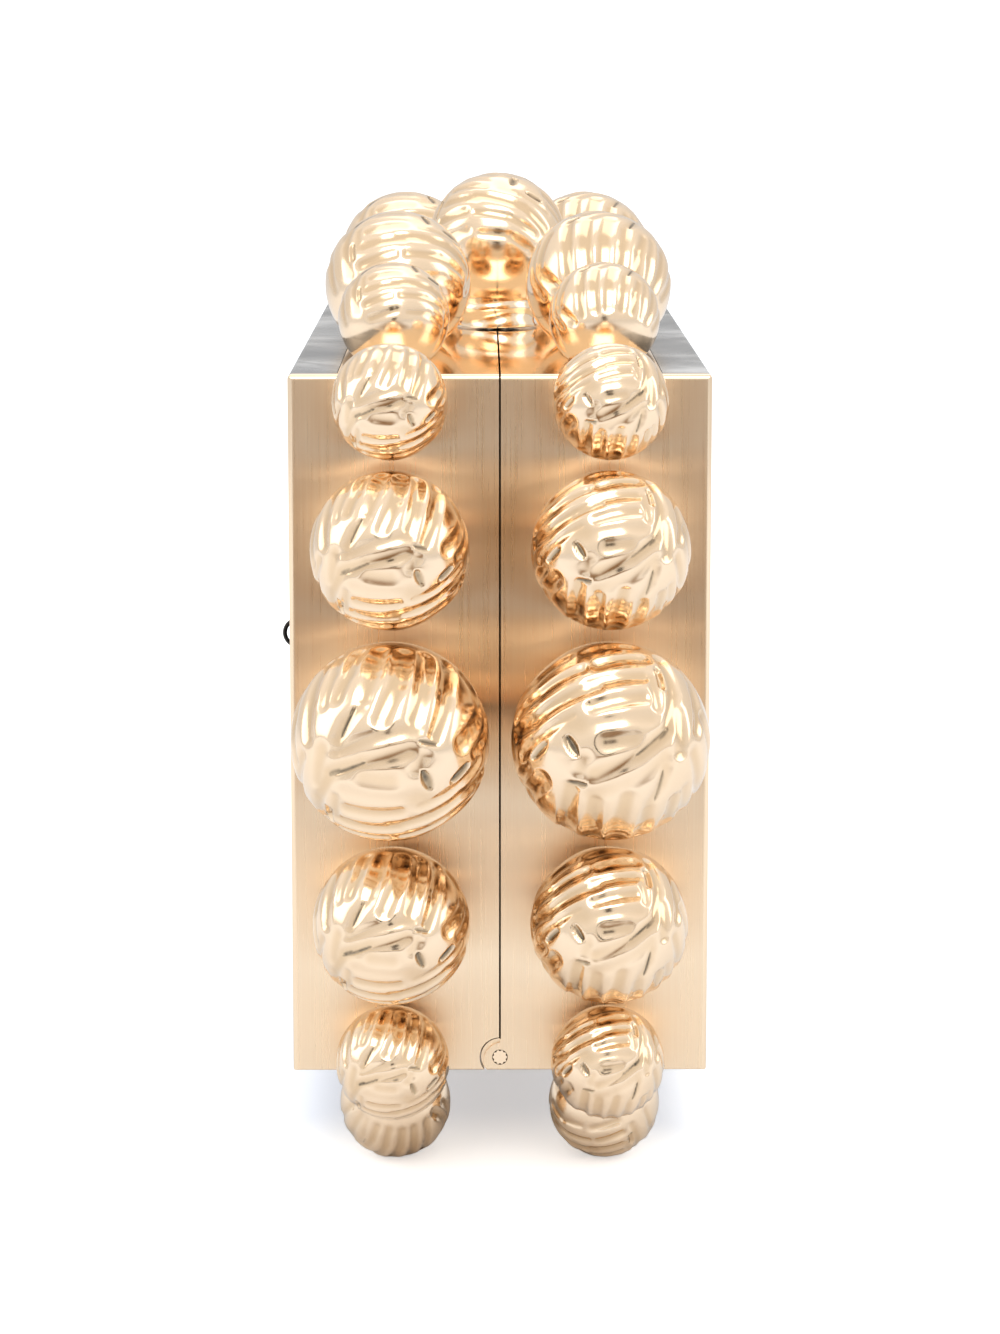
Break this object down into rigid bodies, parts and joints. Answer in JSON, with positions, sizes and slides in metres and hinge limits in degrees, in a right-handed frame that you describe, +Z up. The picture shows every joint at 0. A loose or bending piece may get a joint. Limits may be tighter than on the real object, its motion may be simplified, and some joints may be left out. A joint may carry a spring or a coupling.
{
  "type": "minaudiere",
  "caption": "Hard box clutch: hinged metal halves dressed with hammered metal balls, marbled side panels, lined trays and a turning ball clasp.",
  "frame": {"origin": "centre of the bounding box in plan, on the surface that the foot balls stand on", "axes": "+X along the box, +Y from the front half to the rear half, +Z up"},
  "size_m": [0.234, 0.0742, 0.1608],
  "materials": {
    "frame_gold": "brushed",
    "ball_gold": "polished, hammered",
    "inner_brass": "satin",
    "fastener_steel": "satin",
    "panel_grey": "polished, marbled",
    "lining": "suede",
    "ring_dark": "dark plated"
  },
  "bodies": {
    "rear": {"rear_frame": "frame_gold", "rear_panel": "panel_grey", "rear_liner": "lining", "hinge_pin": "inner_brass", "rear_ball_studs": "fastener_steel", "rear_ball_nuts": "fastener_steel", "latch_bridge": "inner_brass", "bridge_rivets": "fastener_steel", "rear_right_ball_1": "ball_gold", "rear_right_ball_2": "ball_gold", "rear_right_ball_3": "ball_gold", "rear_right_ball_4": "ball_gold", "rear_right_ball_5": "ball_gold", "rear_left_ball_1": "ball_gold", "rear_left_ball_2": "ball_gold", "rear_left_ball_3": "ball_gold", "rear_left_ball_4": "ball_gold", "rear_left_ball_5": "ball_gold", "rear_top_ball_1": "ball_gold", "rear_top_ball_2": "ball_gold", "rear_top_ball_3": "ball_gold", "rear_top_ball_4": "ball_gold", "rear_foot_ball_1": "ball_gold", "rear_foot_ball_2": "ball_gold"},
    "front": {"front_frame": "frame_gold", "front_panel": "panel_grey", "front_liner": "lining", "front_ball_studs": "fastener_steel", "front_ball_nuts": "fastener_steel", "latch_keeper": "inner_brass", "ring_staple": "ring_dark", "front_right_ball_1": "ball_gold", "front_right_ball_2": "ball_gold", "front_right_ball_3": "ball_gold", "front_right_ball_4": "ball_gold", "front_right_ball_5": "ball_gold", "front_left_ball_1": "ball_gold", "front_left_ball_2": "ball_gold", "front_left_ball_3": "ball_gold", "front_left_ball_4": "ball_gold", "front_left_ball_5": "ball_gold", "front_top_ball_1": "ball_gold", "front_top_ball_2": "ball_gold", "front_top_ball_3": "ball_gold", "front_top_ball_4": "ball_gold", "front_foot_ball_1": "ball_gold", "front_foot_ball_2": "ball_gold"},
    "clasp": {"clasp_ball": "ball_gold", "clasp_collar": "frame_gold", "clasp_stem": "inner_brass", "latch_arm": "inner_brass", "latch_nut": "fastener_steel"},
    "ring": {"pull_ring": "ring_dark"}
  },
  "joints": [
    {"name": "front_open", "type": "hinge", "parent": "rear", "child": "front", "pos_m": [0, 0.0031, 0.01949], "axis": [1, 0, 0], "range_deg": [0, 62]},
    {"name": "clasp_turn", "type": "hinge", "parent": "rear", "child": "clasp", "pos_m": [0, 0.0031, 0.13229], "axis": [0, 0, 1], "range_deg": [0, 90]},
    {"name": "ring_swing", "type": "hinge", "parent": "front", "child": "ring", "pos_m": [0, -0.0342, 0.07629], "axis": [-1, 0, 0], "range_deg": [0, 160]}
  ]
}
